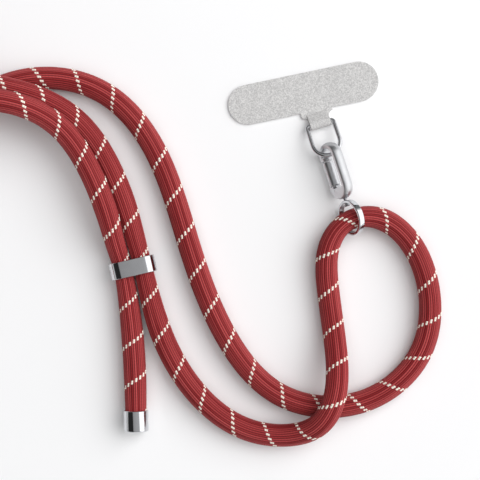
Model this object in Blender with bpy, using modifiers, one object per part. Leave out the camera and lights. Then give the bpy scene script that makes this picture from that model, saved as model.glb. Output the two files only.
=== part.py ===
"""Phone crossbody strap, laid on a flat surface.

A knitted rope runs through two sliders and ends in two metal caps. It carries a ring, a
swivelling spring-gate clip, a wire loop and a thin card that sits inside a phone's case.
The model's origin is the middle of the card's underside, +Z is up from the surface.
"""
import math

import bmesh
import bpy
import numpy
from mathutils import Matrix, Vector

MM = 0.001
GAP = 0.3 * MM

# Rope: one length of knitted sheath over a soft core
ROPE_DIAMETER = 9.0 * MM
ROPE_BEVEL_STEPS = 3
ROPE_POINT_COUNT = 80
ROUTE_STEPS = 24
ROPE_POINT_STEP = 3.0 * ROPE_DIAMETER
ROPE_POINT_TURN = math.radians(32)

# The rope's route in millimetres, from the far end cap to the near one: place of the
# centre line and thickness as a share of the rope's own, less where metal squeezes it
ROUTE = [
    (-257.4, -15.8, 5.0, 0.90),
    (-198.2, -5.0, 5.3, 0.83),
    (-164.5, 2.5, 8.6, 1.00),
    (-132.4, 2.8, 14.7, 1.00),
    (-100.9, -4.8, 9.7, 1.00),
    (-84.3, -18.8, 4.9, 1.00),
    (-72.6, -42.0, 4.5, 1.00),
    (-66.9, -60.4, 4.7, 0.87),
    (-64.4, -69.5, 5.3, 0.83),
    (-57.8, -94.4, 4.5, 1.00),
    (-42.4, -121.0, 4.5, 1.00),
    (-22.0, -135.2, 4.6, 1.00),
    (-2.9, -136.4, 7.7, 1.00),
    (7.5, -130.1, 13.0, 1.00),
    (12.4, -117.5, 13.2, 1.00),
    (11.8, -95.5, 5.4, 1.00),
    (9.2, -74.4, 4.5, 1.00),
    (10.2, -61.1, 6.3, 0.95),
    (17.4, -51.7, 6.85, 0.88),
    (31.6, -51.1, 5.2, 1.00),
    (46.6, -67.4, 4.5, 1.00),
    (48.0, -101.2, 4.5, 1.00),
    (24.0, -123.6, 4.5, 1.00),
    (-8.0, -121.9, 4.5, 1.00),
    (-30.0, -99.6, 4.5, 1.00),
    (-44.8, -64.8, 4.5, 1.00),
    (-58.0, -26.4, 4.5, 1.00),
    (-77.6, -1.9, 4.5, 1.00),
    (-103.6, 5.6, 4.5, 1.00),
    (-135.6, -7.0, 4.5, 1.00),
    (-187.6, -72.8, 4.5, 1.00),
    (-259.6, -110.0, 4.5, 1.00),
    (-287.2, -52.8, 4.5, 1.00),
    (-199.3, -13.0, 5.3, 0.83),
    (-191.3, -12.0, 5.5, 0.88),
    (-153.2, -6.4, 14.6, 1.00),
    (-117.8, -5.3, 21.8, 1.00),
    (-94.1, -17.5, 13.2, 1.00),
    (-78.9, -46.5, 11.2, 1.00),
    (-76.1, -57.0, 8.7, 0.91),
    (-74.1, -64.5, 5.8, 0.87),
    (-72.3, -70.85, 5.3, 0.83),
    (-68.4, -99.2, 4.6, 1.00),
    (-67.1, -133.8, 5.0, 0.90),
]

# Rows of the route that pass side by side through each slider
SLIDER_ROWS = {"slider": (8, 41), "far_slider": (1, 33)}

# Sliders: oval metal bands that hold two strands
SLIDER_WIDTH = 18.6 * MM
SLIDER_HEIGHT = 10.6 * MM
SLIDER_LENGTH = 6.6 * MM
SLIDER_WALL = 1.0 * MM
SLIDER_EDGE = 0.25 * MM

# End caps: metal cups crimped over the rope's ends
CAP_DIAMETER = 10.0 * MM
CAP_LENGTH = 8.3 * MM
CAP_WALL = 0.62 * MM
CAP_FLOOR = 1.2 * MM
CAP_EDGE = 0.35 * MM
CAP_END_ROOM = 0.5 * MM

# Line of the metal parts: from the ring's centre, through the clip, to the wire loop
RING_CENTRE = Vector((18.7, -50.2, 6.85)) * MM
LINE_TURN = math.radians(18)
LINE_DIP = math.radians(2)

# Ring that slides on the rope
RING_DIAMETER = 14.4 * MM
RING_THICKNESS = 1.15 * MM
RING_BAND = 2.5 * MM
RING_EDGE = 0.3 * MM
RING_ROLL = math.radians(60)

# Clip: an oval link with a spring gate, on a pin that swivels in the ring
CLIP_LENGTH = 23.6 * MM
CLIP_WIDTH = 11.4 * MM
CLIP_DEPTH = 4.4 * MM
CLIP_WALL = 2.1 * MM
CLIP_EDGE = 0.5 * MM
CLIP_EDGE_STEPS = 3
CLIP_ROLL = math.radians(57.5)
CLIP_TO_RING = 0.6 * MM

# Swivel pin: shank through the ring, head inside it
SHANK_DIAMETER = 1.1 * MM
SHANK_GAP = 0.27 * MM
HEAD_DIAMETER = 2.3 * MM
HEAD_LENGTH = 1.0 * MM

# Gate and its hinge at the ring's end of the clip
GATE_DIAMETER = 4.5 * MM
GATE_LENGTH = 10.1 * MM
GATE_FOOT = 6.3 * MM
GATE_EDGE = 0.3 * MM
HINGE_INSET = 3.1 * MM
HINGE_DROP = 1.9 * MM
HINGE_ROOM = 1.2 * MM
KNUCKLE_RADIUS = 1.4 * MM
TONGUE_THICKNESS = 2.1 * MM
HINGE_PIN_DIAMETER = 1.1 * MM
SHOULDER_LENGTH = 0.6 * MM

# Wire loop between the clip and the card's tab
WIRE_DIAMETER = 1.8 * MM
LOOP_WIDTH = 11.1 * MM
LOOP_REACH = 13.4 * MM
LOOP_RISE = 4.5 * MM
LOOP_CORNER = 1.1 * MM
LOOP_TURN = math.radians(17)
LOOP_TO_CLIP = 8.37 * MM
LOOP_SIDE = 0.09 * MM

# Card: a thin stadium with a tab that folds round the wire
CARD_LENGTH = 61.5 * MM
CARD_WIDTH = 16.0 * MM
CARD_THICKNESS = 0.9 * MM
CARD_TURN = math.radians(11.9)
CARD_TO_TAB_EDGE = 8.0 * MM
TAB_WIDTH = 12.8 * MM
TAB_NECK = 8.4 * MM
TAB_SHIFT = 0.2 * MM
TAB_SHOULDER_SHARE = 0.6
SLEEVE_GAP = 0.28 * MM
SLEEVE_LIFT = 0.06 * MM

ARC_STEPS = 16


def clear_scene():
    """Removes every object, so that the model starts from nothing."""
    for thing in list(bpy.data.objects):
        bpy.data.objects.remove(thing, do_unlink=True)


def new_collection(name):
    """A collection of this name in the scene."""
    collection = bpy.data.collections.new(name)
    bpy.context.scene.collection.children.link(collection)
    return collection


def finish_of(name, colour, roughness, metallic):
    """A Principled material with one colour."""
    material = bpy.data.materials.new(name)
    material.use_nodes = True
    shader = material.node_tree.nodes["Principled BSDF"]
    shader.inputs["Base Color"].default_value = (*colour, 1.0)
    shader.inputs["Roughness"].default_value = roughness
    shader.inputs["Metallic"].default_value = metallic
    return material


def add_object(name, data, collection, material=None, parent=None):
    """Links an object for this mesh or curve, with its material and parent."""
    thing = bpy.data.objects.new(name, data)
    collection.objects.link(thing)
    if material is not None:
        data.materials.append(material)
    thing.parent = parent
    return thing


def add_empty(name, collection, matrix, parent=None):
    """An empty that places the pieces parented to it."""
    empty = bpy.data.objects.new(name, None)
    empty.empty_display_size = 0.01
    collection.objects.link(empty)
    empty.parent = parent
    empty.matrix_basis = matrix
    return empty


def flat_prism(outline, low, high):
    """A mesh with this flat outline, from height low to height high."""
    body = bmesh.new()
    base = body.faces.new([body.verts.new((x, y, low)) for x, y in outline])
    made = bmesh.ops.extrude_face_region(body, geom=[base])
    top = [thing for thing in made["geom"] if isinstance(thing, bmesh.types.BMVert)]
    bmesh.ops.translate(body, verts=top, vec=(0, 0, high - low))
    bmesh.ops.recalc_face_normals(body, faces=body.faces)
    mesh = bpy.data.meshes.new("prism")
    body.to_mesh(mesh)
    body.free()
    return mesh


def rounded_band(outlines, length, edge):
    """A mesh between these flat outlines with rounded edges, centred on its length."""
    shape = bpy.data.curves.new("outline", "CURVE")
    shape.dimensions = "2D"
    shape.fill_mode = "BOTH"
    shape.extrude = length / 2 - edge
    shape.bevel_depth = edge
    shape.bevel_resolution = 1
    shape.offset = -edge
    for outline in outlines:
        spline = shape.splines.new("POLY")
        spline.points.add(len(outline) - 1)
        for point, (x, y) in zip(spline.points, outline):
            point.co = (x, y, 0.0, 1.0)
        spline.use_cyclic_u = True
    holder = bpy.data.objects.new("outline", shape)
    bpy.context.scene.collection.objects.link(holder)
    graph = bpy.context.evaluated_depsgraph_get()
    mesh = bpy.data.meshes.new_from_object(holder.evaluated_get(graph))
    bpy.data.objects.remove(holder, do_unlink=True)
    body = bmesh.new()
    body.from_mesh(mesh)
    bmesh.ops.remove_doubles(body, verts=body.verts, dist=0.001 * MM)
    bmesh.ops.recalc_face_normals(body, faces=body.faces)
    body.to_mesh(mesh)
    body.free()
    return mesh


def rod(radius, low, high, sides=32, matrix=Matrix()):
    """A cylinder's mesh along Z from low to high, moved by the matrix."""
    mesh = bpy.data.meshes.new("rod")
    body = bmesh.new()
    bmesh.ops.create_cone(
        body, cap_ends=True, segments=sides, radius1=radius, radius2=radius,
        depth=high - low, matrix=matrix @ Matrix.Translation((0, 0, (low + high) / 2)))
    body.to_mesh(mesh)
    body.free()
    return mesh


def block(low, high):
    """A box's mesh between two corners."""
    mesh = bpy.data.meshes.new("block")
    size = Vector(high) - Vector(low)
    middle = (Vector(high) + Vector(low)) / 2
    body = bmesh.new()
    bmesh.ops.create_cube(body, size=1.0, matrix=Matrix.Translation(middle) @ Matrix.Diagonal((*size, 1)))
    body.to_mesh(mesh)
    body.free()
    return mesh


def turned(profile, steps, matrix):
    """A mesh turned about Z from a profile of radius and height, moved by the matrix."""
    body = bmesh.new()
    corners = [body.verts.new((x, 0, z)) for x, z in profile]
    edges = [body.edges.new(pair) for pair in zip(corners, corners[1:])]
    bmesh.ops.spin(
        body, geom=corners + edges, cent=(0, 0, 0), axis=(0, 0, 1), angle=2 * math.pi, steps=steps)
    bmesh.ops.remove_doubles(body, verts=body.verts, dist=0.001 * MM)
    bmesh.ops.transform(body, verts=body.verts, matrix=matrix)
    bmesh.ops.recalc_face_normals(body, faces=body.faces)
    mesh = bpy.data.meshes.new("turned")
    body.to_mesh(mesh)
    body.free()
    return mesh


def combine(target, mesh, operation, cutters):
    """Cuts a mesh from the target, or joins it on, with an exact Boolean."""
    cutter = add_object(target.name + "_" + operation.lower(), mesh, cutters)
    cutter.parent = target.parent
    cutter.matrix_basis = target.matrix_basis
    cutter.hide_render = True
    cutter.display_type = "WIRE"
    boolean = target.modifiers.new(operation.lower(), "BOOLEAN")
    boolean.operation = operation
    boolean.solver = "EXACT"
    boolean.object = cutter


def soften_edges(target, width, segments=2):
    """Rounds the sharp edges."""
    bevel = target.modifiers.new("edges", "BEVEL")
    bevel.width = width
    bevel.segments = segments
    bevel.limit_method = "ANGLE"
    bevel.angle_limit = math.radians(50)
    bevel.use_clamp_overlap = True


def arc(centre, radius, start, end, steps=ARC_STEPS):
    """Points on an arc, both ends among them, with angles in degrees."""
    angles = [math.radians(start + (end - start) * step / steps) for step in range(steps + 1)]
    return [(centre[0] + radius * math.cos(a), centre[1] + radius * math.sin(a)) for a in angles]


def stadium(width, height):
    """Outline of a rectangle whose shorter sides are half rounds, round the origin."""
    if width >= height:
        radius = height / 2
        reach = width / 2 - radius
        return arc((reach, 0), radius, -90, 90) + arc((-reach, 0), radius, 90, 270)
    radius = width / 2
    reach = height / 2 - radius
    return arc((0, reach), radius, 0, 180) + arc((0, -reach), radius, 180, 360)


def smooth_route(steps):
    """The rope's centre line and thickness: a cubic spline through the route's rows."""
    rows = numpy.array(ROUTE, float)
    gaps = numpy.sqrt(numpy.linalg.norm(numpy.diff(rows[:, :3], axis=0), axis=1))
    count = len(rows)
    table = numpy.eye(count)
    right = numpy.zeros_like(rows)
    for row in range(1, count - 1):
        back = gaps[row - 1]
        ahead = gaps[row]
        table[row, row - 1:row + 2] = back, 2 * (back + ahead), ahead
        right[row] = 6 * ((rows[row + 1] - rows[row]) / ahead - (rows[row] - rows[row - 1]) / back)
    bends = numpy.linalg.solve(table, right)
    points = []
    for row in range(count - 1):
        for step in range(steps):
            far = step / steps
            near = 1 - far
            bend = (near ** 3 - near) * bends[row] + (far ** 3 - far) * bends[row + 1]
            points.append(near * rows[row] + far * rows[row + 1] + gaps[row] ** 2 / 6 * bend)
    points.append(rows[-1])
    points = numpy.array(points)
    points[:, :3] *= MM
    points[:, 3] = numpy.minimum(points[:, 3], 1.0)
    points[:, 2] = numpy.maximum(points[:, 2], ROPE_DIAMETER / 2)
    return points


def rope_points():
    """Points for the rope's tube: each row of the route, and more where it is long or bends."""
    fine = smooth_route(ROUTE_STEPS)
    steps = numpy.diff(fine[:, :3], axis=0)
    lengths = numpy.linalg.norm(steps, axis=1)
    ways = steps / lengths[:, None]
    turns = numpy.arccos(numpy.clip((ways[1:] * ways[:-1]).sum(axis=1), -1, 1))
    effort = lengths / ROPE_POINT_STEP
    effort[1:] += turns / ROPE_POINT_TURN
    reached = numpy.concatenate([[0], numpy.cumsum(effort)])
    picks = [row * ROUTE_STEPS for row in range(len(ROUTE))]
    while len(picks) < ROPE_POINT_COUNT:
        widths = numpy.diff(reached[picks])
        widest = int(numpy.argmax(widths))
        half = reached[picks[widest]] + widths[widest] / 2
        picks.insert(widest + 1, int(numpy.searchsorted(reached, half)))
    return fine[picks]


def route_place(row):
    """Centre and level direction of the rope at one row of its route."""
    fine = smooth_route(ROUTE_STEPS)
    here = row * ROUTE_STEPS
    before = fine[max(here - 1, 0), :3]
    after = fine[min(here + 1, len(fine) - 1), :3]
    way = Vector(after - before)
    way.z = 0
    return Vector(fine[here, :3]), way.normalized()


def facing(centre, way):
    """A level frame at the centre with its Y axis along the way."""
    up = Vector((0, 0, 1))
    side = way.cross(up)
    turn = Matrix((side, way, up)).transposed().to_4x4()
    return Matrix.Translation(centre) @ turn


def make_rope(parts):
    """The rope as a round tube along its route."""
    shape = bpy.data.curves.new("rope", "CURVE")
    shape.dimensions = "3D"
    shape.bevel_depth = ROPE_DIAMETER / 2
    shape.bevel_resolution = ROPE_BEVEL_STEPS
    shape.use_fill_caps = True
    shape.twist_mode = "MINIMUM"
    spline = shape.splines.new("POLY")
    points = rope_points()
    spline.points.add(len(points) - 1)
    for point, (x, y, z, share) in zip(spline.points, points):
        point.co = (x, y, z, 1.0)
        point.radius = share
    red = finish_of("knitted rope", (0.38, 0.04, 0.05), 0.8, 0.0)
    add_object("rope", shape, parts, red)


def make_slider(name, steel, parts):
    """An oval band round two strands of the rope."""
    first, first_way = route_place(SLIDER_ROWS[name][0])
    second, second_way = route_place(SLIDER_ROWS[name][1])
    if first_way.dot(second_way) < 0:
        second_way = -second_way
    centre = (first + second) / 2
    centre.z = SLIDER_HEIGHT / 2
    along = Matrix.Rotation(math.pi / 2, 4, "X")
    seat = facing(centre, (first_way + second_way).normalized()) @ along
    outside = stadium(SLIDER_WIDTH, SLIDER_HEIGHT)
    inside = stadium(SLIDER_WIDTH - 2 * SLIDER_WALL, SLIDER_HEIGHT - 2 * SLIDER_WALL)
    band = add_object(name, rounded_band([outside, inside], SLIDER_LENGTH, SLIDER_EDGE), parts, steel)
    band.matrix_basis = seat


def make_cap(name, row, steel, parts):
    """A cup over one end of the rope, turned from its profile."""
    end, way = route_place(row)
    if row == 0:
        way = -way
    radius = CAP_DIAMETER / 2
    bore = radius - CAP_WALL
    edge = CAP_EDGE
    thin = min(edge, CAP_WALL / 3)
    profile = [
        (0, CAP_FLOOR),
        (bore, CAP_FLOOR),
        (bore, CAP_LENGTH - thin),
        (bore + thin, CAP_LENGTH),
        (radius - thin, CAP_LENGTH),
        (radius, CAP_LENGTH - thin),
        (radius, edge),
        (radius - edge, 0),
        (0, 0),
    ]
    cap = add_object(name, turned_profile(profile), parts, steel)
    turn_round(cap, 40)
    tip = end + way * (CAP_END_ROOM + CAP_FLOOR)
    tip.z = max(end.z, radius)
    cap.matrix_basis = facing(tip, -way) @ Matrix.Rotation(-math.pi / 2, 4, "X")


def turned_profile(profile, closed=False):
    """A profile of edges in the XZ plane, ready to be turned about Z."""
    mesh = bpy.data.meshes.new("profile")
    corners = [(x, 0, z) for x, z in profile]
    edges = [(place, place + 1) for place in range(len(corners) - 1)]
    if closed:
        edges.append((len(corners) - 1, 0))
    mesh.from_pydata(corners, edges, [])
    return mesh


def turn_round(target, steps):
    """Turns a profile about the object's Z axis into a closed body."""
    screw = target.modifiers.new("turned", "SCREW")
    screw.axis = "Z"
    screw.angle = 2 * math.pi
    screw.steps = steps
    screw.render_steps = steps
    screw.use_merge_vertices = True
    screw.merge_threshold = 0.001 * MM
    screw.use_smooth_shade = True


def line_frame():
    """Frame at the ring's centre, with +Y along the clip towards the card."""
    turn = Matrix.Rotation(LINE_TURN, 4, "Z")
    dip = Matrix.Rotation(-LINE_DIP, 4, "X")
    return Matrix.Translation(RING_CENTRE) @ turn @ dip


def make_ring(line, steel, parts, cutters):
    """The ring on the rope, with a hole for the swivel pin."""
    outer = RING_DIAMETER / 2
    inner = outer - RING_THICKNESS
    half = RING_BAND / 2
    edge = RING_EDGE
    profile = [
        (outer, half - edge),
        (outer, edge - half),
        (outer - edge, -half),
        (inner + edge, -half),
        (inner, edge - half),
        (inner, half - edge),
        (inner + edge, half),
        (outer - edge, half),
    ]
    ring = add_object("rope_ring", turned_profile(profile, closed=True), parts, steel, line)
    ring.matrix_basis = Matrix.Rotation(-RING_ROLL, 4, "Y")
    turn_round(ring, 48)
    to_clip = Matrix.Rotation(-math.pi / 2, 4, "X")
    hole = rod(SHANK_DIAMETER / 2 + SHANK_GAP, inner - 1 * MM, outer + 1 * MM, 20, to_clip)
    combine(ring, hole, "DIFFERENCE", cutters)


def clip_sizes():
    """Places along the clip's line, measured from the ring's centre."""
    low = RING_DIAMETER / 2 + CLIP_TO_RING
    gate_low = low + GATE_FOOT
    return {
        "low": low,
        "high": low + CLIP_LENGTH,
        "middle": low + CLIP_LENGTH / 2,
        "gate_low": gate_low,
        "gate_high": gate_low + GATE_LENGTH,
        "block_top": gate_low - HINGE_ROOM,
        "hinge": gate_low - HINGE_DROP,
        "hinge_x": HINGE_INSET - CLIP_WIDTH / 2,
        "gate_x": (GATE_DIAMETER - CLIP_WIDTH) / 2,
    }


def make_clip(line, steel, parts, cutters):
    """The oval link with its swivel pin, hinge slot and gate shoulder."""
    at = clip_sizes()
    half_width = CLIP_WIDTH / 2
    half_depth = CLIP_DEPTH / 2
    outline = [(x, y + at["middle"]) for x, y in stadium(CLIP_WIDTH, CLIP_LENGTH)]
    clip = add_object("clip_frame", flat_prism(outline, -half_depth, half_depth), parts, steel, line)
    clip.matrix_basis = Matrix.Rotation(-CLIP_ROLL, 4, "Y")
    eye = half_width - CLIP_WALL
    eye_top = at["high"] - half_width
    opening = arc((0, eye_top), eye, 0, 180) + [(-eye, at["block_top"]), (eye, at["block_top"])]
    combine(clip, flat_prism(opening, -CLIP_DEPTH, CLIP_DEPTH), "DIFFERENCE", cutters)
    bay_low = (-CLIP_WIDTH, at["block_top"], -CLIP_DEPTH)
    bay_high = (-eye / 2, at["gate_high"] + GAP, CLIP_DEPTH)
    combine(clip, block(bay_low, bay_high), "DIFFERENCE", cutters)
    soften_edges(clip, CLIP_EDGE, CLIP_EDGE_STEPS)
    along = Matrix.Rotation(-math.pi / 2, 4, "X")
    to_gate = Matrix.Translation((at["gate_x"], 0, 0)) @ along
    shoulder_low = at["gate_high"] + GAP
    shoulder_high = shoulder_low + SHOULDER_LENGTH
    gate_radius = GATE_DIAMETER / 2
    profile = [(0, shoulder_low), (gate_radius, shoulder_low)]
    profile += arc((0, shoulder_high), gate_radius, 0, 90, 8)
    combine(clip, turned(profile, 32, to_gate), "UNION", cutters)
    slot_half = TONGUE_THICKNESS / 2 + GAP
    slot_floor = at["hinge"] - KNUCKLE_RADIUS - GAP
    slot_side = at["hinge_x"] + KNUCKLE_RADIUS + 2 * GAP + GATE_LENGTH * 0.08
    slot = block((-CLIP_WIDTH, slot_floor, -slot_half), (slot_side, at["block_top"] + 1 * MM, slot_half))
    combine(clip, slot, "DIFFERENCE", cutters)
    pin_place = Matrix.Translation((at["hinge_x"], at["hinge"], 0))
    pin_half = half_depth + 0.1 * MM
    combine(clip, rod(HINGE_PIN_DIAMETER / 2, -pin_half, pin_half, 16, pin_place), "UNION", cutters)
    head_top = math.sqrt((RING_DIAMETER / 2 - RING_THICKNESS) ** 2 - (HEAD_DIAMETER / 2) ** 2) - GAP
    head_low = head_top - HEAD_LENGTH
    shank_high = at["low"] + CLIP_WALL / 2
    shank_radius = SHANK_DIAMETER / 2
    pin = [(0, head_low), (HEAD_DIAMETER / 2, head_low), (HEAD_DIAMETER / 2, head_top)]
    pin += [(shank_radius, head_top), (shank_radius, shank_high), (0, shank_high)]
    combine(clip, turned(pin, 20, along), "UNION", cutters)


def make_gate(line, steel, parts, cutters):
    """The gate: a round bar with a tongue and knuckle on the hinge pin."""
    at = clip_sizes()
    roll = Matrix.Rotation(-CLIP_ROLL, 4, "Y")
    hinge = add_empty("gate_hinge", parts, roll @ Matrix.Translation((at["hinge_x"], at["hinge"], 0)), line)
    along = Matrix.Rotation(-math.pi / 2, 4, "X")
    side = at["gate_x"] - at["hinge_x"]
    low = at["gate_low"] - at["hinge"]
    high = at["gate_high"] - at["hinge"]
    bar_place = Matrix.Translation((side, 0, 0)) @ along
    gate = add_object("clip_gate", rod(GATE_DIAMETER / 2, low, high, 32, bar_place), parts, steel, hinge)
    soften_edges(gate, GATE_EDGE)
    half = TONGUE_THICKNESS / 2
    radius = KNUCKLE_RADIUS
    tongue = arc((0, 0), radius, 180, 360) + [(radius, low + 1 * MM), (-radius, low + 1 * MM)]
    combine(gate, flat_prism(tongue, -half, half), "UNION", cutters)
    bore = rod(HINGE_PIN_DIAMETER / 2 + GAP, -TONGUE_THICKNESS, TONGUE_THICKNESS, 20)
    combine(gate, bore, "DIFFERENCE", cutters)


def loop_place():
    """The middle of the wire loop's bar on the surface, beyond the clip's end."""
    reach = Vector((LOOP_SIDE, clip_sizes()["high"] + LOOP_TO_CLIP, 0))
    return (RING_CENTRE + Matrix.Rotation(LINE_TURN, 3, "Z") @ reach).to_2d()


def loop_frame():
    """Frame at the middle of the wire loop's bar, with +Y towards the card, in the loop's plane."""
    height = WIRE_DIAMETER / 2 + SLEEVE_GAP + CARD_THICKNESS
    centre = Vector((*loop_place(), height))
    turn = Matrix.Rotation(LOOP_TURN, 4, "Z")
    pitch = Matrix.Rotation(-math.atan2(LOOP_RISE, LOOP_REACH), 4, "X")
    return Matrix.Translation(centre) @ turn @ pitch


def make_loop(steel, parts):
    """The wire loop: a straight bar, two legs and a round bow."""
    half = LOOP_WIDTH / 2
    long = math.hypot(LOOP_RISE, LOOP_REACH)
    corner = LOOP_CORNER
    path = arc((half - corner, -corner), corner, 90, 0, 4)
    path += arc((0, half - long), half, 0, -180, 16)
    path += arc((corner - half, -corner), corner, 180, 90, 4)
    shape = bpy.data.curves.new("wire_loop", "CURVE")
    shape.dimensions = "3D"
    shape.bevel_depth = WIRE_DIAMETER / 2
    shape.bevel_resolution = 3
    spline = shape.splines.new("POLY")
    spline.points.add(len(path) - 1)
    for point, (x, y) in zip(spline.points, path):
        point.co = (x, y, 0.0, 1.0)
    spline.use_cyclic_u = True
    loop = add_object("wire_loop", shape, parts, steel)
    loop.matrix_basis = loop_frame()


def tab_outline(to_card, low, high, edge):
    """Outline of the tab in the card's frame, from its left root round to its right one."""
    rise = (edge - high) * TAB_SHOULDER_SHARE
    neck = TAB_NECK / 2
    shoulder = TAB_WIDTH / 2 - neck
    right = [(neck, low)]
    for step in range(7):
        angle = math.radians(90 * step / 6)
        right.append((neck + shoulder * (1 - math.cos(angle)), high + rise * math.sin(angle)))
    left = [(-x, y) for x, y in reversed(right)]
    corners = [to_card @ Vector((x, y, 0)) for x, y in left + right]
    up = to_card.to_3x3() @ Vector((0, 1, 0))
    roots = [end + up * ((-CARD_TO_TAB_EDGE - end.y) / up.y) for end in (corners[0], corners[-1])]
    return [corner.to_2d() for corner in [roots[0]] + corners + [roots[1]]]


def sleeve_section(root):
    """Section of the tab's fold, round the wire and down to the card's top at the root."""
    middle = WIRE_DIAMETER / 2 + SLEEVE_GAP + CARD_THICKNESS
    radius = middle - SLEEVE_LIFT
    drop = CARD_THICKNESS / 2 - middle
    lean = math.degrees(math.atan2(drop, root))
    touch = math.degrees(math.acos(min(radius / math.hypot(root, drop), 1.0)))
    section = arc((0, middle), radius, -90, -360 + lean + touch, 20)
    return section + [(root, CARD_THICKNESS / 2), (root, CARD_THICKNESS / 4)]


def make_card(parts, cutters):
    """The card with its tab, which is folded round the wire loop's bar."""
    grey = finish_of("heathered card", (0.55, 0.55, 0.55), 0.85, 0.0)
    card_turn = Matrix.Rotation(CARD_TURN, 4, "Z")
    bar = Matrix.Translation((*loop_place(), 0)) @ Matrix.Rotation(LOOP_TURN, 4, "Z")
    to_card = card_turn.inverted() @ bar @ Matrix.Translation((TAB_SHIFT, 0, 0))
    edge = (to_card.inverted() @ Vector((0, -CARD_TO_TAB_EDGE, 0))).y
    middle = WIRE_DIAMETER / 2 + SLEEVE_GAP + CARD_THICKNESS
    lift = CARD_WIDTH / 2 - CARD_TO_TAB_EDGE
    outline = [(x, y + lift) for x, y in stadium(CARD_LENGTH, CARD_WIDTH)]
    outline += tab_outline(to_card, -GAP, middle - 1 * MM, edge)
    card = add_object("tether_card", flat_prism(outline, 0, CARD_THICKNESS), parts, grey)
    card.matrix_basis = card_turn
    half = TAB_NECK / 2 - SLEEVE_LIFT
    stand = Matrix(((0, 0, 1, 0), (1, 0, 0, 0), (0, 1, 0, 0), (0, 0, 0, 1)))
    sleeve = flat_prism(sleeve_section(edge - GAP), -half, half)
    sleeve.transform(to_card @ stand)
    combine(card, sleeve, "UNION", cutters)
    crosswise = Matrix.Translation((0, 0, middle)) @ Matrix.Rotation(math.pi / 2, 4, "Y")
    bore = rod(WIRE_DIAMETER / 2 + SLEEVE_GAP, -TAB_WIDTH, TAB_WIDTH, 24, to_card @ crosswise)
    combine(card, bore, "DIFFERENCE", cutters)


def build():
    """Makes every piece of the strap."""
    clear_scene()
    parts = new_collection("phone_crossbody_strap")
    cutters = new_collection("cutters")
    steel = finish_of("polished zinc alloy", (0.72, 0.72, 0.73), 0.15, 1.0)
    line = add_empty("swivel_axis", parts, line_frame())
    make_rope(parts)
    for name in SLIDER_ROWS:
        make_slider(name, steel, parts)
    make_cap("far_end_cap", 0, steel, parts)
    make_cap("end_cap", len(ROUTE) - 1, steel, parts)
    make_ring(line, steel, parts, cutters)
    make_clip(line, steel, parts, cutters)
    make_gate(line, steel, parts, cutters)
    make_loop(steel, parts)
    make_card(parts, cutters)


build()
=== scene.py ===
import math

import bmesh
import bpy
import numpy
from mathutils import Matrix, Vector


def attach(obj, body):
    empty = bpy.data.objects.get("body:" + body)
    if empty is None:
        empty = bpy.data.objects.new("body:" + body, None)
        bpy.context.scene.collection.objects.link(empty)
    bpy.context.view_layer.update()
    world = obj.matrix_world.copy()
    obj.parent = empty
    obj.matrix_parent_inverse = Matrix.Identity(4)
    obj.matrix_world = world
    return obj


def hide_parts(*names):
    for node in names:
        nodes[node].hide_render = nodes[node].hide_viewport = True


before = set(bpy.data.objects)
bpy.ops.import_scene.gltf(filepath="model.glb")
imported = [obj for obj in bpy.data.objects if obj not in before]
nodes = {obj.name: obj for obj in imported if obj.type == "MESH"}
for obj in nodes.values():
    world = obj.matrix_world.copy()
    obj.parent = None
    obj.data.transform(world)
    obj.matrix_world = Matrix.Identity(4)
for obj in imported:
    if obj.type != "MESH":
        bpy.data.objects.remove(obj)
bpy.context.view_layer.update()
MM = 0.001

# Camera: a lens straight above the strap, as in a catalogue picture of a flat lay.
# The strap lies on the surface, and its left part runs out of the picture.
VIEW_CENTRE = Vector((-25.56, -59.2, 4.5)) * MM
VIEW_WIDTH = 192.0 * MM
VIEW_DISTANCE = 560.0 * MM
SENSOR_WIDTH = 36.0
NEAREST = 0.01
FARTHEST = 20.0

lens = bpy.data.cameras.new("overhead_camera")
lens.sensor_width = SENSOR_WIDTH
lens.lens = SENSOR_WIDTH * VIEW_DISTANCE / VIEW_WIDTH
lens.clip_start = NEAREST
lens.clip_end = FARTHEST
camera = bpy.data.objects.new("overhead_camera", lens)
camera.location = VIEW_CENTRE + Vector((0, 0, VIEW_DISTANCE))
bpy.context.scene.collection.objects.link(camera)
bpy.context.scene.camera = camera
bpy.context.scene.view_settings.view_transform = "Standard"

# Rope: one 1.36 m length of knitted polyester cord, a ribbed tubular sheath over a soft
# core. Two strands of it lie side by side in each slider, and its ends are in the two caps.
ROPE_DIAMETER = 9.0 * MM
ROPE_RIBS = 32
ROPE_RIB_DEPTH = 0.3 * MM
RIB_CORNERS = (-0.27, 0.27, 0.5)    # shares of a rib's width: its crest's two edges, the groove
ROPE_RING_STEP = 1.5 * MM
ROUTE_STEPS = 24

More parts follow.
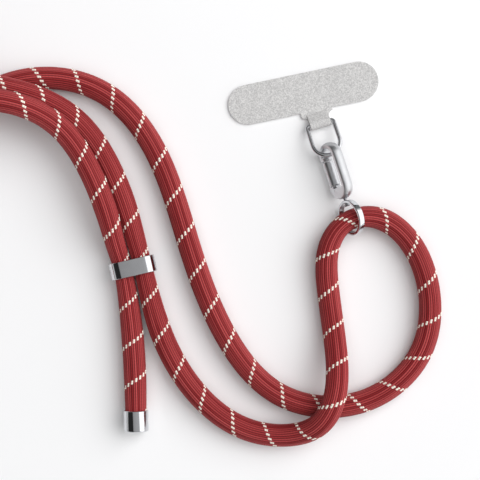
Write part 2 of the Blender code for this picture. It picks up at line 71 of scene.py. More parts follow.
# Route in millimetres from the far cap to the near one: x, y, z and share of full thickness,
# which is less where a slider, a cap or the ring squeezes the rope
ROUTE = [
    (-257.4, -15.8, 5.0, 0.90),
    (-198.2, -5.0, 5.3, 0.83),
    (-164.5, 2.5, 8.6, 1.00),
    (-132.4, 2.8, 14.7, 1.00),
    (-100.9, -4.8, 9.7, 1.00),
    (-84.3, -18.8, 4.9, 1.00),
    (-72.6, -42.0, 4.5, 1.00),
    (-66.9, -60.4, 4.7, 0.87),
    (-64.4, -69.5, 5.3, 0.83),
    (-57.8, -94.4, 4.5, 1.00),
    (-42.4, -121.0, 4.5, 1.00),
    (-22.0, -135.2, 4.6, 1.00),
    (-2.9, -136.4, 7.7, 1.00),
    (7.5, -130.1, 13.0, 1.00),
    (12.4, -117.5, 13.2, 1.00),
    (11.8, -95.5, 5.4, 1.00),
    (9.2, -74.4, 4.5, 1.00),
    (10.2, -61.1, 6.3, 0.95),
    (17.4, -51.7, 6.85, 0.88),
    (31.6, -51.1, 5.2, 1.00),
    (46.6, -67.4, 4.5, 1.00),
    (48.0, -101.2, 4.5, 1.00),
    (24.0, -123.6, 4.5, 1.00),
    (-8.0, -121.9, 4.5, 1.00),
    (-30.0, -99.6, 4.5, 1.00),
    (-44.8, -64.8, 4.5, 1.00),
    (-58.0, -26.4, 4.5, 1.00),
    (-77.6, -1.9, 4.5, 1.00),
    (-103.6, 5.6, 4.5, 1.00),
    (-135.6, -7.0, 4.5, 1.00),
    (-187.6, -72.8, 4.5, 1.00),
    (-259.6, -110.0, 4.5, 1.00),
    (-287.2, -52.8, 4.5, 1.00),
    (-199.3, -13.0, 5.3, 0.83),
    (-191.3, -12.0, 5.5, 0.88),
    (-153.2, -6.4, 14.6, 1.00),
    (-117.8, -5.3, 21.8, 1.00),
    (-94.1, -17.5, 13.2, 1.00),
    (-78.9, -46.5, 11.2, 1.00),
    (-76.1, -57.0, 8.7, 0.91),
    (-74.1, -64.5, 5.8, 0.87),
    (-72.3, -70.85, 5.3, 0.83),
    (-68.4, -99.2, 4.6, 1.00),
    (-67.1, -133.8, 5.0, 0.90),
]


def smooth_route(steps):
    """The centre line and thickness in metres: a cubic spline through the route's rows."""
    rows = numpy.array(ROUTE, float)
    gaps = numpy.sqrt(numpy.linalg.norm(numpy.diff(rows[:, :3], axis=0), axis=1))
    count = len(rows)
    table = numpy.eye(count)
    right = numpy.zeros_like(rows)
    for row in range(1, count - 1):
        back = gaps[row - 1]
        ahead = gaps[row]
        table[row, row - 1:row + 2] = back, 2 * (back + ahead), ahead
        right[row] = 6 * ((rows[row + 1] - rows[row]) / ahead - (rows[row] - rows[row - 1]) / back)
    bends = numpy.linalg.solve(table, right)
    points = []
    for row in range(count - 1):
        for step in range(steps):
            far = step / steps
            near = 1 - far
            bend = (near ** 3 - near) * bends[row] + (far ** 3 - far) * bends[row + 1]
            points.append(near * rows[row] + far * rows[row + 1] + gaps[row] ** 2 / 6 * bend)
    points.append(rows[-1])
    points = numpy.array(points)
    points[:, :3] *= MM
    points[:, 3] = numpy.minimum(points[:, 3], 1.0)
    points[:, 2] = numpy.maximum(points[:, 2], ROPE_DIAMETER / 2)
    return points


def laid_line(step):
    """Evenly spaced stations on the rope: place, thickness and two directions across it."""
    fine = smooth_route(ROUTE_STEPS)
    lengths = numpy.linalg.norm(numpy.diff(fine[:, :3], axis=0), axis=1)
    run = numpy.concatenate([[0], numpy.cumsum(lengths)])
    stations = numpy.linspace(0, run[-1], int(run[-1] / step) + 1)
    line = numpy.stack([numpy.interp(stations, run, fine[:, k]) for k in range(4)], axis=1)
    places = line[:, :3]
    ways = numpy.gradient(places, axis=0)
    ways /= numpy.linalg.norm(ways, axis=1)[:, None]
    side = numpy.array([0.0, 0.0, 1.0])
    sides = []
    for way in ways:
        side = side - way * (side @ way)
        side = side / numpy.linalg.norm(side)
        sides.append(side)
    sides = numpy.array(sides)
    return stations, places, line[:, 3], sides, numpy.cross(ways, sides)


stations, places, shares, sides, crosses = laid_line(ROPE_RING_STEP)
rope_length = float(stations[-1])


def ribbed_tube():
    """The sheath: each rib has a flat crest and a groove beside it, with closed ends."""
    turns = numpy.array([rib + corner for rib in range(ROPE_RIBS) for corner in RIB_CORNERS])
    around = len(turns)
    angles = turns * math.tau / ROPE_RIBS
    groove = numpy.arange(around) % len(RIB_CORNERS) == len(RIB_CORNERS) - 1
    radii = ROPE_DIAMETER / 2 - ROPE_RIB_DEPTH * groove
    rings = numpy.cos(angles)[None, :, None] * sides[:, None, :]
    rings = rings + numpy.sin(angles)[None, :, None] * crosses[:, None, :]
    rings = places[:, None, :] + rings * (radii[None, :, None] * shares[:, None, None])
    count = len(places)
    corners = rings.reshape(-1, 3)
    ring, turn = numpy.meshgrid(numpy.arange(count - 1), numpy.arange(around), indexing="ij")
    after = (turn + 1) % around
    faces = numpy.stack(
        [ring * around + turn, ring * around + after,
         (ring + 1) * around + after, (ring + 1) * around + turn], axis=-1).reshape(-1, 4)
    ends = [list(range(around))[::-1], [(count - 1) * around + turn for turn in range(around)]]
    mesh = bpy.data.meshes.new("rope_sheath")
    mesh.from_pydata(corners.tolist(), [], faces.tolist() + ends)
    turns = numpy.append(turns, turns[0] + ROPE_RIBS)
    across = numpy.stack([turns[turn], turns[turn + 1], turns[turn + 1], turns[turn]], axis=-1)
    along = numpy.stack([ring, ring, ring + 1, ring + 1], axis=-1) * ROPE_RING_STEP / MM
    yarn = numpy.zeros((len(mesh.loops), 2))
    yarn[:across.size, 0] = across.reshape(-1)
    yarn[:along.size, 1] = along.reshape(-1)
    layer = mesh.uv_layers.new(name="yarn")
    layer.data.foreach_set("uv", yarn.ravel())
    mesh.shade_smooth()
    return mesh


def add_piece(name, mesh, material, body):
    """A piece of the strap with its material, moving with a body of the model."""
    piece = bpy.data.objects.new(name, mesh)
    bpy.context.scene.collection.objects.link(piece)
    mesh.materials.append(material)
    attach(piece, body)
    return piece


def linear(hex_colour):
    """An sRGB hex colour as linear red, green, blue and alpha."""
    parts = [int(hex_colour[place:place + 2], 16) / 255 for place in (0, 2, 4)]
    return tuple(c / 12.92 if c <= 0.04045 else ((c + 0.055) / 1.055) ** 2.4 for c in parts) + (1.0,)


def add_node(tree, kind, inputs=None, **settings):
    """Adds a shader node with its settings, and sets or links its inputs."""
    made = tree.nodes.new("ShaderNode" + kind)
    for name, value in settings.items():
        setattr(made, name, value)
    for name, value in (inputs or {}).items():
        if isinstance(value, bpy.types.NodeSocket):
            tree.links.new(value, made.inputs[name])
        else:
            made.inputs[name].default_value = value
    return made


def new_finish(name, **sockets):
    """A Principled material with these socket values, with its tree and shader."""
    material = bpy.data.materials.new(name)
    material.use_nodes = True
    shader = material.node_tree.nodes["Principled BSDF"]
    for socket, value in sockets.items():
        shader.inputs[socket.replace("_", " ")].default_value = value
    return material, material.node_tree, shader


# Painted shade: the near-black red of the grooves between the ribs, where shade falls
GROOVE_SHADE_RED = "43060A"
DEEP_RED = "8A181D"
BRIGHT_RED = "BC4849"
STITCH_LENGTH = 1.3         # millimetres, like the next one
STREAK_LENGTH = 45.0
GROOVE_MIDDLE = 0.5         # shares of a rib's width from the middle of its crest
CREST_EDGE = 0.24
RIB_SPREAD = 3.7            # how far apart two ribs read the slow drift, so that they differ
RIB_CONTRAST = 0.55
TONE_RANGE = (0.5, 1.08)
STITCH_LEAN = 1.2
STITCH_SHADE = 0.84
YARN_RELIEF = 0.12 * MM


def knitted_polyester():
    """Knitted polyester: matt, with painted shade in the grooves between the ribs and across the stitches,
    each rib's tone drifting slowly along it.
    """
    material, tree, shader = new_finish(
        "knitted polyester rope", Roughness=0.75, Sheen_Weight=0.08, Sheen_Roughness=0.4)
    yarn = add_node(tree, "UVMap", uv_map="yarn").outputs[0]
    split = add_node(tree, "SeparateXYZ", {0: yarn})
    rib = add_node(tree, "Math", {0: split.outputs[0], 1: 0.5}, operation="ADD").outputs[0]
    number = add_node(tree, "Math", {0: rib}, operation="FLOOR").outputs[0]
    within = add_node(tree, "Math", {0: rib}, operation="FRACT").outputs[0]
    off = add_node(tree, "Math", {0: within, 1: 0.5}, operation="SUBTRACT").outputs[0]
    off = add_node(tree, "Math", {0: off}, operation="ABSOLUTE").outputs[0]
    crest = add_node(tree, "MapRange", {0: off, 1: GROOVE_MIDDLE, 2: CREST_EDGE},
                     interpolation_type="SMOOTHSTEP").outputs[0]
    wrapped = add_node(tree, "Math", {0: number, 1: float(ROPE_RIBS)}, operation="MODULO").outputs[0]
    own = add_node(tree, "TexWhiteNoise", {"W": wrapped}, noise_dimensions="1D").outputs[0]
    slow = add_node(tree, "Math", {0: split.outputs[1], 1: 1 / STREAK_LENGTH},
                    operation="MULTIPLY").outputs[0]
    apart = add_node(tree, "Math", {0: wrapped, 1: RIB_SPREAD}, operation="MULTIPLY").outputs[0]
    drift_place = add_node(tree, "CombineXYZ", {0: apart, 1: slow}).outputs[0]
    drift = add_node(tree, "TexNoise", {"Vector": drift_place, "Scale": 1.0, "Detail": 2.0}).outputs[0]
    tone = add_node(tree, "Math", {0: own, 1: RIB_CONTRAST, 2: drift}, operation="MULTIPLY_ADD").outputs[0]
    tone = add_node(tree, "MapRange", {0: tone, 1: TONE_RANGE[0], 2: TONE_RANGE[1]}).outputs[0]
    lit = add_node(tree, "Mix", {0: tone, 6: linear(DEEP_RED), 7: linear(BRIGHT_RED)},
                   data_type="RGBA").outputs[2]
    # Painted shade across the stitches: a slanted wave along each rib darkens the colour between stitches,
    # and also gives their bump
    lean = add_node(tree, "Math", {0: off, 1: STITCH_LEAN, 2: own}, operation="MULTIPLY_ADD").outputs[0]
    run = add_node(tree, "Math", {0: split.outputs[1], 1: 1 / STITCH_LENGTH, 2: lean},
                   operation="MULTIPLY_ADD").outputs[0]
    wave = add_node(tree, "Math", {0: run, 1: math.tau}, operation="MULTIPLY").outputs[0]
    wave = add_node(tree, "Math", {0: wave}, operation="SINE").outputs[0]
    stitch = add_node(tree, "MapRange", {0: wave, 1: -1.0, 2: 1.0, 3: STITCH_SHADE, 4: 1.0}).outputs[0]
    shade = add_node(tree, "Math", {0: crest, 1: stitch}, operation="MULTIPLY").outputs[0]
    # Painted shade: the groove colour is mixed in towards the grooves between the ribs and the dips
    # between stitches
    colour = add_node(tree, "Mix", {0: shade, 6: linear(GROOVE_SHADE_RED), 7: lit},
                      data_type="RGBA").outputs[2]
    bump = add_node(tree, "Bump", {"Height": shade, "Distance": YARN_RELIEF, "Strength": 0.6}).outputs[0]
    tree.links.new(colour, shader.inputs["Base Color"])
    tree.links.new(bump, shader.inputs["Normal"])
    return material


rope = add_piece("rope_sheath", ribbed_tube(), knitted_polyester(), "strap")
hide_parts("rope")

# Stripe: off-white yarn knitted into every other rib, a row of short dashes that climbs
# round the rope like a screw. Each dash is two stitches, the later one a little to the side.
STRIPE_PITCH = 15.5 * MM
STRIPE_DASHES = 16
STITCH_SIZE = Vector((0.90, 0.94)) * MM
STITCH_SHIFT = Vector((0.12, 0.78)) * MM
STITCH_RISE = 0.13 * MM
STITCH_SINK = 0.9           # how deep a stitch's edge lies, as a share of its rise
STITCH_SQUARENESS = 6
STITCH_GRID = 4
STRIPE_MARK = Vector((-69.6, -83.6)) * MM
STRIPE_END_ROOM = 1.5 * MM
YARN_STRAND = 0.25 * MM
STRAND_RELIEF = 0.05 * MM
YARN_CREAM = "E6DACB"
YARN_WHITE = "FBF6EC"


def on_rope(station, angle, lift):
    """Places on the rope's surface at these stations and angles, lifted from it."""
    place = numpy.stack([numpy.interp(station, stations, places[:, k]) for k in range(3)], axis=-1)
    side = numpy.stack([numpy.interp(station, stations, sides[:, k]) for k in range(3)], axis=-1)
    cross = numpy.stack([numpy.interp(station, stations, crosses[:, k]) for k in range(3)], axis=-1)
    radius = ROPE_DIAMETER / 2 * numpy.interp(station, stations, shares) + lift
    out = side * numpy.cos(angle)[..., None] + cross * numpy.sin(angle)[..., None]
    return place + out * radius[..., None]


def stripe_start():
    """The station of the first dash, which sets the stripe so that it faces up at the mark."""
    flat = numpy.linalg.norm(places[:, :2] - numpy.array(STRIPE_MARK), axis=1)
    here = int(numpy.argmin(flat))
    up = math.atan2(crosses[here, 2], sides[here, 2])
    return stations[here] - STRIPE_PITCH * up / math.tau


def dashed_stripe():
    """All the stitches of the stripe as one mesh of small padded leaves."""
    first = stripe_start() % STRIPE_PITCH
    step = STRIPE_PITCH / STRIPE_DASHES
    numbers = numpy.arange(-STRIPE_DASHES, int(rope_length / step))
    centres = first + numbers * step
    inside = (centres > STRIPE_END_ROOM + STITCH_SHIFT.y)
    inside &= (centres < rope_length - STRIPE_END_ROOM - STITCH_SHIFT.y)
    numbers = numbers[inside]
    centres = centres[inside]
    turns = numbers * math.tau / STRIPE_DASHES
    grid = numpy.linspace(-1, 1, STITCH_GRID + 1)
    along, across = numpy.meshgrid(grid, grid, indexing="ij")
    dome = (1 - along ** STITCH_SQUARENESS) * (1 - across ** STITCH_SQUARENESS)
    dome = numpy.sqrt(numpy.clip(dome, 0, 1))
    lift = STITCH_RISE * (dome * (1 + STITCH_SINK) - STITCH_SINK)
    corners = []
    for half in (-0.5, 0.5):
        station = centres[:, None, None] + half * STITCH_SHIFT.y + along * STITCH_SIZE.y / 2
        slant = across * STITCH_SIZE.x / 2 + half * STITCH_SHIFT.x + along * STITCH_SHIFT.x / 3
        angle = turns[:, None, None] + slant / (ROPE_DIAMETER / 2)
        corners.append(on_rope(station, angle, lift[None] + 0 * station))
    corners = numpy.concatenate(corners).reshape(-1, 3)
    row, column = numpy.meshgrid(numpy.arange(STITCH_GRID), numpy.arange(STITCH_GRID), indexing="ij")
    corner = (row * (STITCH_GRID + 1) + column).ravel()
    leaf = numpy.stack([corner, corner + 1, corner + STITCH_GRID + 2, corner + STITCH_GRID + 1], axis=-1)
    leaves = numpy.arange(2 * len(centres))[:, None, None] * (STITCH_GRID + 1) ** 2
    faces = (leaves + leaf[None]).reshape(-1, 4)
    mesh = bpy.data.meshes.new("rope_stripe")
    mesh.from_pydata(corners.tolist(), [], faces.tolist())
    mesh.shade_smooth()
    return mesh


def stripe_yarn():
    """Bleached polyester yarn: matt off-white with fine strands along each stitch."""
    material, tree, shader = new_finish("bleached polyester yarn", Roughness=0.8, Sheen_Weight=0.2)
    place = add_node(tree, "TexCoord").outputs["Object"]
    strands = add_node(
        tree, "TexNoise", {"Vector": place, "Scale": 1 / YARN_STRAND, "Detail": 1.0}).outputs[0]
    colour = add_node(tree, "Mix", {0: strands, 6: linear(YARN_CREAM), 7: linear(YARN_WHITE)},
                      data_type="RGBA").outputs[2]
    bump = add_node(tree, "Bump", {"Height": strands, "Distance": STRAND_RELIEF}).outputs[0]
    tree.links.new(colour, shader.inputs["Base Color"])
    tree.links.new(bump, shader.inputs["Normal"])
    return material


stripe = add_piece("rope_stripe", dashed_stripe(), stripe_yarn(), "strap")

# Sliders: cast zinc bands, polished and nickel plated, a little crowned on their broad
# faces. Each holds two strands of the rope side by side and slides along them.
SLIDER_ROWS = {"slider": (8, 41), "far_slider": (1, 33)}
SLIDER_HALF_WIDTH = 9.3 * MM
SLIDER_HALF_HEIGHT = 5.3 * MM
SLIDER_LENGTH = 6.6 * MM
SLIDER_WALL = 1.0 * MM
SLIDER_EDGE = 0.22 * MM
SLIDER_LEAN = 6             # degrees that a broad face leans at its ends
SHARP_ANGLE = math.radians(32)
WEAR_SIZE = 3.8 * MM
WEAR_EDGES = (0.3, 0.7)
WEAR_SPREAD = 0.2           # how much wear changes the roughness, as a share of it
MARK_DEPTH = 0.0008 * MM
PALE_NICKEL = "DCDDE0"


def arc(centre, radius, start, end, steps):
    """Points on an arc without its last one, with angles in degrees."""
    angles = [math.radians(start + (end - start) * step / steps) for step in range(steps)]
    return [(centre[0] + radius * math.cos(a), centre[1] + radius * math.sin(a)) for a in angles]


def outward(outline):
    """The directions that point out of a flat outline that runs anticlockwise."""
    ahead = numpy.roll(outline, -1, axis=0) - numpy.roll(outline, 1, axis=0)
    out = numpy.stack([ahead[:, 1], -ahead[:, 0]], axis=1)
    return out / numpy.linalg.norm(out, axis=1)[:, None]


def finished(name, mesh, matrix):
    """Moves a mesh to its place and shades it smooth except at its sharp edges."""
    mesh.transform(matrix)
    mesh.name = name
    mesh.shade_smooth()
    mesh.set_sharp_from_angle(angle=SHARP_ANGLE)
    return mesh


def swept(name, outline, profile, matrix):
    """A closed band: the profile's points, outward and upward, carried round the outline."""
    outline = numpy.array(outline)
    profile = numpy.array(profile)
    count = len(outline)
    width = len(profile)
    flat = outline[:, None, :] + outward(outline)[:, None, :] * profile[None, :, :1]
    height = numpy.broadcast_to(profile[None, :, 1:], (count, width, 1))
    corners = numpy.concatenate([flat, height], axis=2).reshape(-1, 3)
    place, turn = numpy.meshgrid(numpy.arange(count), numpy.arange(width), indexing="ij")
    after = (place + 1) % count
    beside = (turn + 1) % width
    faces = numpy.stack([place * width + turn, after * width + turn,
                         after * width + beside, place * width + beside], axis=-1).reshape(-1, 4)
    mesh = bpy.data.meshes.new(name)
    mesh.from_pydata(corners.tolist(), [], faces.tolist())
    return finished(name, mesh, matrix)


def strip_profile(thickness, length, edge):
    """Section of a flat strip with rounded edges, its outer face at nought."""
    far = length / 2 - edge
    deep = edge - thickness
    return (arc((-edge, -far), edge, -90, 0, 4) + arc((-edge, far), edge, 0, 90, 4)
            + arc((deep, far), edge, 90, 180, 4) + arc((deep, -far), edge, 180, 270, 4))


def slider_outline():
    """A long oval: round ends that run into broad faces with a slight crown."""
    slope = math.tan(math.radians(SLIDER_LEAN / 2))
    end = (SLIDER_HALF_HEIGHT - SLIDER_HALF_WIDTH * slope) / (1 - slope)
    middle = SLIDER_HALF_WIDTH - end
    crown = end + middle / math.sin(math.radians(SLIDER_LEAN))
    deep = crown - SLIDER_HALF_HEIGHT
    steep = 90 - SLIDER_LEAN
    return (arc((middle, 0), end, -steep, steep, 36) + arc((0, -deep), crown, steep, 180 - steep, 14)
            + arc((-middle, 0), end, 180 - steep, 180 + steep, 36)
            + arc((0, deep), crown, 180 + steep, 360 - steep, 14))


def route_place(row):
    """Centre and level direction of the rope at one row of its route."""
    fine = smooth_route(ROUTE_STEPS)
    here = row * ROUTE_STEPS
    way = Vector(fine[min(here + 1, len(fine) - 1), :3] - fine[max(here - 1, 0), :3])
    way.z = 0
    return Vector(fine[here, :3]), way.normalized()


def facing(centre, way):
    """A level frame at the centre with its Y axis along the way."""
    up = Vector((0, 0, 1))
    turn = Matrix((way.cross(up), way, up)).transposed().to_4x4()
    return Matrix.Translation(centre) @ turn


def slider_seat(name):
    """Where a slider stands round its two strands, its length along Z."""
    first, first_way = route_place(SLIDER_ROWS[name][0])
    second, second_way = route_place(SLIDER_ROWS[name][1])
    if first_way.dot(second_way) < 0:
        second_way = -second_way
    centre = (first + second) / 2
    centre.z = SLIDER_HALF_HEIGHT
    return facing(centre, (first_way + second_way).normalized()) @ Matrix.Rotation(math.pi / 2, 4, "X")


def polished_nickel(name, colour, roughness, grain):
    """Nickel plate: a mirror softened by faint polishing marks and handling."""
    material, tree, shader = new_finish(name, Metallic=1.0)
    place = add_node(tree, "TexCoord").outputs["Object"]
    marks = add_node(tree, "TexNoise", {"Vector": place, "Scale": 1 / grain, "Detail": 3.0})
    wear = add_node(tree, "TexNoise", {"Vector": place, "Scale": 1 / WEAR_SIZE, "Detail": 2.0}).outputs[0]
    rough = add_node(tree, "MapRange", {
        0: wear, 1: WEAR_EDGES[0], 2: WEAR_EDGES[1],
        3: roughness * (1 - WEAR_SPREAD), 4: roughness * (1 + WEAR_SPREAD)})
    tint = add_node(
        tree, "Mix", {0: wear, 6: linear(colour), 7: linear(PALE_NICKEL)}, data_type="RGBA")
    bump = add_node(
        tree, "Bump", {"Height": marks.outputs[0], "Distance": MARK_DEPTH, "Strength": 0.5})
    tree.links.new(tint.outputs[2], shader.inputs["Base Color"])
    tree.links.new(rough.outputs[0], shader.inputs["Roughness"])
    tree.links.new(bump.outputs[0], shader.inputs["Normal"])
    return material


def add_metal(mesh, material, body, node):
    """A metal piece that takes the place of a plain solid of the model."""
    piece = add_piece(mesh.name, mesh, material, body)
    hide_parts(node)
    return piece


polish = polished_nickel("polished nickel plate", "CFD0D3", roughness=0.09, grain=0.15 * MM)
for name in SLIDER_ROWS:
    profile = strip_profile(SLIDER_WALL, SLIDER_LENGTH, SLIDER_EDGE)
    band = swept(name + "_band", slider_outline(), profile, slider_seat(name))
    add_metal(band, polish, "strap", name)

# End caps: drawn zinc cups, polished and nickel plated, glued and crimped over the two cut
# ends of the rope. The rim is thin and the closed end is flat with a soft edge.
CAP_RADIUS = 5.0 * MM
CAP_LENGTH = 8.3 * MM
CAP_WALL = 0.62 * MM
CAP_FLOOR = 1.2 * MM
CAP_EDGE = 0.4 * MM
CAP_END_ROOM = 0.5 * MM
CAP_STEPS = 64
WELD_DISTANCE = 0.001 * MM


def turned(name, profile, steps, matrix):
    """A solid turned about Z from a profile of radius and height, from the axis to the axis."""
    body = bmesh.new()
    corners = [body.verts.new((x, 0, z)) for x, z in profile]
    edges = [body.edges.new(pair) for pair in zip(corners, corners[1:])]
    bmesh.ops.spin(
        body, geom=corners + edges, cent=(0, 0, 0), axis=(0, 0, 1), angle=math.tau, steps=steps)
    bmesh.ops.remove_doubles(body, verts=body.verts, dist=WELD_DISTANCE)
    bmesh.ops.recalc_face_normals(body, faces=body.faces)
    mesh = bpy.data.meshes.new(name)
    body.to_mesh(mesh)
    body.free()
    return finished(name, mesh, matrix)


def cap_profile():
    """From the inside of the floor, up the bore, over the rim and down to the outer floor."""
    bore = CAP_RADIUS - CAP_WALL
    lip = CAP_WALL / 2
    profile = [(0, CAP_FLOOR), (bore, CAP_FLOOR)]
    profile += arc((bore + lip, CAP_LENGTH - lip), lip, 180, 0, 8)
    profile += [(CAP_RADIUS, CAP_LENGTH - lip)]
    profile += arc((CAP_RADIUS - CAP_EDGE, CAP_EDGE), CAP_EDGE, 0, -90, 6)
    return profile + [(CAP_RADIUS - CAP_EDGE, 0), (0, 0)]


def cap_seat(row):
    """Where a cap stands at an end of the rope, its axis along Z into the cap's mouth."""
    end, way = route_place(row)
    if row == 0:
        way = -way
    tip = end + way * (CAP_END_ROOM + CAP_FLOOR)
    tip.z = max(end.z, CAP_RADIUS)
    return facing(tip, -way) @ Matrix.Rotation(-math.pi / 2, 4, "X")


for name, row in (("far_end_cap", 0), ("end_cap", len(ROUTE) - 1)):
    cup = turned(name + "_cup", cap_profile(), CAP_STEPS, cap_seat(row))
    add_metal(cup, polish, "strap", name)

# Ring: a flat zinc band, polished and nickel plated, that slides on the rope. The clip's
# swivel pin comes in through a hole in it and is riveted over inside.
RING_CENTRE = Vector((18.7, -50.2, 6.85)) * MM
LINE_TURN = math.radians(18)
LINE_DIP = math.radians(2)
RING_ROLL = math.radians(60)
RING_RADIUS = 7.2 * MM
RING_THICKNESS = 1.15 * MM
RING_BAND = 2.5 * MM
RING_EDGE = 0.34 * MM
PIN_HOLE_RADIUS = 0.82 * MM
PIN_HOLE_REACH = 1 * MM     # how far the drill runs on past the ring
BEVEL_ANGLE = math.radians(50)
RING_STEPS = 96
PIN_STEPS = 24

line_frame = (Matrix.Translation(RING_CENTRE) @ Matrix.Rotation(LINE_TURN, 4, "Z")
              @ Matrix.Rotation(-LINE_DIP, 4, "X"))
along_line = Matrix.Rotation(-math.pi / 2, 4, "X")


def worked(mesh, steps):
    """The mesh after each step: a bevel's width and segments, or a Boolean with another mesh."""
    scene = bpy.context.scene.collection
    blank = bpy.data.objects.new("blank", mesh)
    scene.objects.link(blank)
    tools = []
    for kind, value in steps:
        if kind == "BEVEL":
            bevel = blank.modifiers.new("edges", "BEVEL")
            bevel.width, bevel.segments = value
            bevel.limit_method = "ANGLE"
            bevel.angle_limit = BEVEL_ANGLE
            continue
        tool = bpy.data.objects.new("tool", value)
        scene.objects.link(tool)
        tools.append(tool)
        boolean = blank.modifiers.new(kind, "BOOLEAN")
        boolean.operation = kind
        boolean.solver = "EXACT"
        boolean.object = tool
    graph = bpy.context.evaluated_depsgraph_get()
    result = bpy.data.meshes.new_from_object(blank.evaluated_get(graph))
    for thing in tools + [blank]:
        used = thing.data
        bpy.data.objects.remove(thing, do_unlink=True)
        bpy.data.meshes.remove(used)
    return result


def rod(radius, low, high, sides, matrix):
    """A round bar along Z, moved by the matrix."""
    return turned("bar", [(0, low), (radius, low), (radius, high), (0, high)], sides, matrix)


ring_outline = arc((0, 0), RING_RADIUS, 0, 360, RING_STEPS)
ring_profile = strip_profile(RING_THICKNESS, RING_BAND, RING_EDGE)
ring_band = swept("rope_ring_band", ring_outline, ring_profile, Matrix.Rotation(-RING_ROLL, 4, "Y"))
pin_hole = rod(PIN_HOLE_RADIUS, RING_RADIUS - 2 * PIN_HOLE_REACH, RING_RADIUS + PIN_HOLE_REACH,
               PIN_STEPS, along_line)
ring_band = finished("rope_ring_band", worked(ring_band, [("DIFFERENCE", pin_hole)]), line_frame)
add_metal(ring_band, polish, "strap", "rope_ring")

# Clip: an oval link of cast zinc with a crowned rim, satin nickel plated. Its block holds
# the gate's hinge pin and the riveted swivel pin, and its shoulder faces the closed gate.
CLIP_WIDTH = 11.4 * MM
CLIP_LENGTH = 23.6 * MM
CLIP_DEPTH = 4.4 * MM
CLIP_WALL = 2.1 * MM
CLIP_ROLL = math.radians(57.5)
CLIP_FROM_RING = 0.6 * MM
CLIP_LOW = RING_RADIUS + CLIP_FROM_RING
CLIP_CROWN_RADIUS = 4.0 * MM
CLIP_EDGE = 0.4 * MM
RIM_EDGE = 0.9 * MM
CLIP_GAP = 0.3 * MM
GATE_RADIUS = 2.25 * MM
GATE_LENGTH = 9.95 * MM
GATE_FROM_FOOT = 6.3 * MM
GATE_LOW = CLIP_LOW + GATE_FROM_FOOT
GATE_EDGE = 0.3 * MM
GATE_STEPS = 48
SEAM_EDGE = 0.1 * MM
SEAM_GAP = 0.45 * MM
SHOULDER_HEIGHT = 0.6 * MM
BLOCK_DROP = 1.2 * MM
BLOCK_TOP = GATE_LOW - BLOCK_DROP
CUT_OVERLAP = 1 * MM
HINGE_FROM_SIDE = 3.1 * MM
HINGE_BELOW_GATE = 1.9 * MM
HINGE = Vector((HINGE_FROM_SIDE - CLIP_WIDTH / 2, GATE_LOW - HINGE_BELOW_GATE, 0))
SLOT_ROOM = 0.8 * MM
TONGUE_THICKNESS = 2.1 * MM
KNUCKLE_RADIUS = 1.4 * MM
HINGE_PIN_RADIUS = 0.55 * MM
HINGE_PIN_PROUD = 0.1 * MM
SHANK_RADIUS = 0.7 * MM
HEAD_RADIUS = 1.15 * MM
HEAD_LENGTH = 1.0 * MM
HEAD_CHAMFER = 0.2 * MM

clip_frame_place = line_frame @ Matrix.Rotation(-CLIP_ROLL, 4, "Y")
gate_x = GATE_RADIUS - CLIP_WIDTH / 2
gate_high = GATE_LOW + GATE_LENGTH


def rim_section():
    """Half the link's rim, from the front face's edge to its middle: inset and depth."""
    half = CLIP_DEPTH / 2
    lean = math.degrees(math.asin((half - RIM_EDGE) / (CLIP_CROWN_RADIUS - RIM_EDGE)))
    drop = (CLIP_CROWN_RADIUS - RIM_EDGE) * math.cos(math.radians(lean))
    inset = CLIP_CROWN_RADIUS - drop
    edge = arc((-inset, half - RIM_EDGE), RIM_EDGE, 90, lean, 6)
    crown = arc((-CLIP_CROWN_RADIUS, 0), CLIP_CROWN_RADIUS, lean, 0, 5)
    return edge + crown


def crowned_blank():
    """The solid oval blank with its rounded rim."""
    radius = CLIP_WIDTH / 2
    reach = CLIP_LENGTH / 2 - radius
    middle = CLIP_LOW + CLIP_LENGTH / 2
    outline = numpy.array(
        arc((0, middle + reach), radius, 0, 180, 32) + [(-radius, middle + reach)]
        + arc((0, middle - reach), radius, 180, 360, 32) + [(radius, middle - reach)])
    out = outward(outline)
    front = rim_section()
    rim = front + [(0, 0)] + [(inset, -depth) for inset, depth in reversed(front)]
    count = len(outline)
    corners = []
    for inset, depth in rim:
        ring = outline + out * inset
        corners += [(x, y, depth) for x, y in ring]
    faces = [list(range(count))]
    for row in range(len(rim) - 1):
        for turn in range(count):
            after = (turn + 1) % count
            faces.append([row * count + turn, (row + 1) * count + turn,
                          (row + 1) * count + after, row * count + after])
    faces.append([(len(rim) - 1) * count + turn for turn in reversed(range(count))])
    mesh = bpy.data.meshes.new("clip_blank")
    mesh.from_pydata(corners, [], faces)
    return mesh


def prism(outline, low, high):
    """A flat outline between two heights."""
    body = bmesh.new()
    base = body.faces.new([body.verts.new((x, y, low)) for x, y in outline])
    made = bmesh.ops.extrude_face_region(body, geom=[base])
    top = [thing for thing in made["geom"] if isinstance(thing, bmesh.types.BMVert)]
    bmesh.ops.translate(body, verts=top, vec=(0, 0, high - low))
    bmesh.ops.recalc_face_normals(body, faces=body.faces)
    mesh = bpy.data.meshes.new("prism")
    body.to_mesh(mesh)
    body.free()
    return mesh


def box(left, right, low, high, half_depth):
    """A box between two sides and two ends, as deep on either side of the middle."""
    return prism([(left, low), (right, low), (right, high), (left, high)], -half_depth, half_depth)


